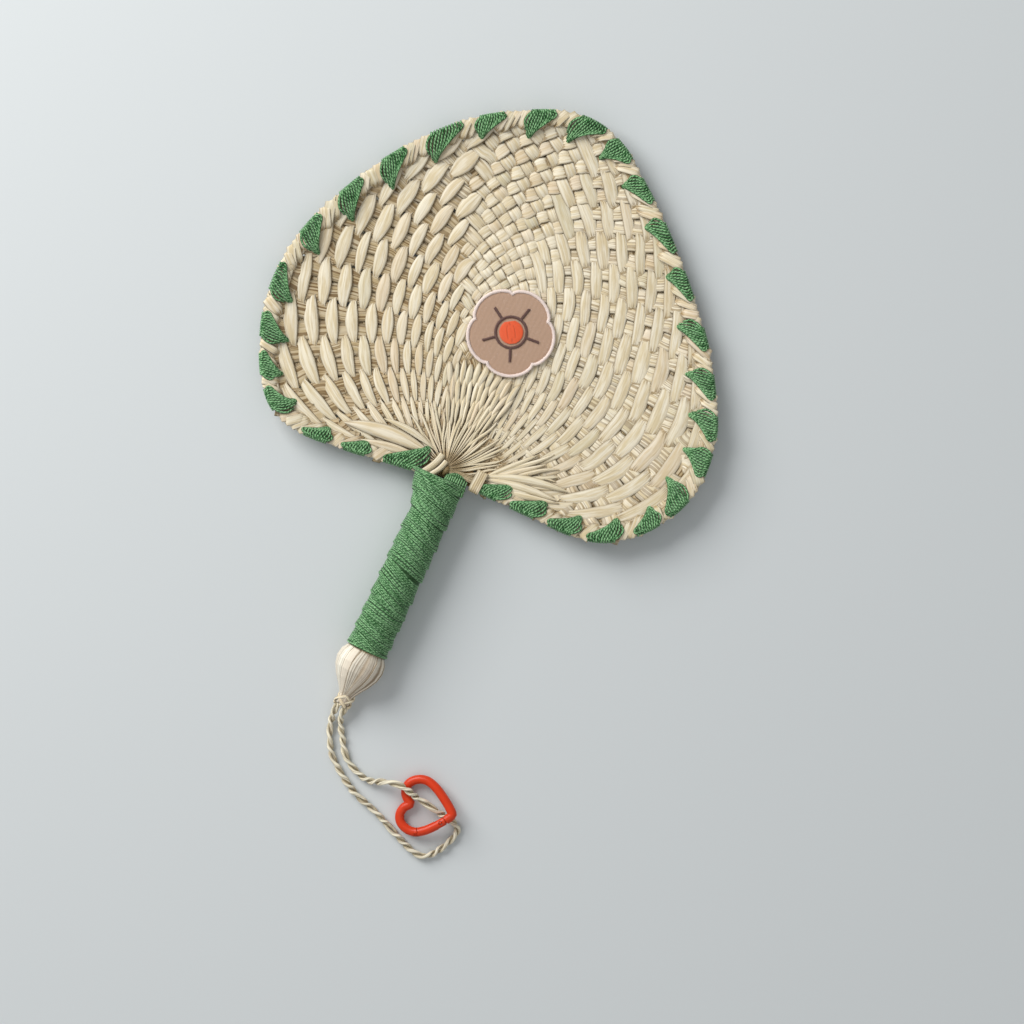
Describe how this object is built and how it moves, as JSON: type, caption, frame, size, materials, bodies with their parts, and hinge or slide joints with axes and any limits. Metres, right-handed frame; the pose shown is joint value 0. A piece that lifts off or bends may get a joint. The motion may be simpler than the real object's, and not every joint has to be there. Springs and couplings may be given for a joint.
{
  "type": "palm leaf fan",
  "caption": "Hand-woven palm leaf fan with a laced rim, cotton-wrapped handle, embroidered flower patch and a wrist loop that carries a heart-shaped spring-gate ring.",
  "frame": {"origin": "under the middle of the fan itself, blade and handle together, on the surface that it lies on", "axes": "+Y from the handle to the blade's tip, +X to the right seen from the front, +Z out of the front face"},
  "size_m": [0.2144, 0.3381, 0.0198],
  "materials": {
    "palm_light": "dry split palm leaf, cream, lengthwise grain",
    "palm_dark": "dry split palm leaf, tan, lengthwise grain",
    "cotton_green": "green cotton tape, diagonal thread lines",
    "enamel_red": "glossy red-orange enamel",
    "steel": "plated steel",
    "cloth_tan": "tan cotton twill",
    "thread_cream": "pinkish-white satin stitch",
    "thread_brown": "dark brown satin stitch",
    "thread_orange": "orange-red satin stitch"
  },
  "bodies": {
    "fan": {"left_strip_01": "palm_light", "left_strip_02": "palm_light", "left_strip_03": "palm_light", "left_strip_04": "palm_light", "left_strip_05": "palm_light", "left_strip_06": "palm_light", "left_strip_07": "palm_light", "left_strip_08": "palm_light", "left_strip_09": "palm_light", "left_strip_10": "palm_light", "left_strip_11": "palm_light", "left_strip_12": "palm_light", "left_strip_13": "palm_light", "left_strip_14": "palm_light", "left_strip_15": "palm_light", "left_strip_16": "palm_light", "right_strip_01": "palm_dark", "right_strip_02": "palm_dark", "right_strip_03": "palm_dark", "right_strip_04": "palm_dark", "right_strip_05": "palm_dark", "right_strip_06": "palm_dark", "right_strip_07": "palm_dark", "right_strip_08": "palm_dark", "right_strip_09": "palm_dark", "right_strip_10": "palm_dark", "right_strip_11": "palm_dark", "right_strip_12": "palm_dark", "right_strip_13": "palm_dark", "right_strip_14": "palm_dark", "right_strip_15": "palm_dark", "right_strip_16": "palm_dark", "rim_edging": "palm_light", "rim_lashing": "cotton_green", "throat_tie": "palm_dark", "leaf_base": "palm_dark", "handle_core": "palm_dark", "handle_wrap": "cotton_green", "palm_bulb": "palm_light", "loop_knot": "palm_dark", "wrist_loop": "palm_dark", "patch_cloth": "cloth_tan", "patch_border": "thread_cream", "patch_petal_lines": "thread_brown", "patch_flower_eye": "thread_orange"},
    "ring": {"carabiner_body": "enamel_red", "carabiner_pin": "steel"},
    "gate": {"carabiner_gate": "enamel_red", "carabiner_spring": "steel", "carabiner_plunger": "steel"}
  },
  "joints": [
    {"name": "ring_swing", "type": "hinge", "parent": "fan", "child": "ring", "pos_m": [0.02956, -0.16677, 0.00725], "axis": [0.9535, -0.2416, -0.18], "range_deg": [-60, 90]},
    {"name": "gate", "type": "hinge", "parent": "ring", "child": "gate", "pos_m": [0.05332, -0.17565, 0.00593], "axis": [0.1975, 0.0271, -0.9799], "range_deg": [0, 25], "stiffness_Nm_per_rad": 0.02, "springref_deg": -22.92}
  ]
}
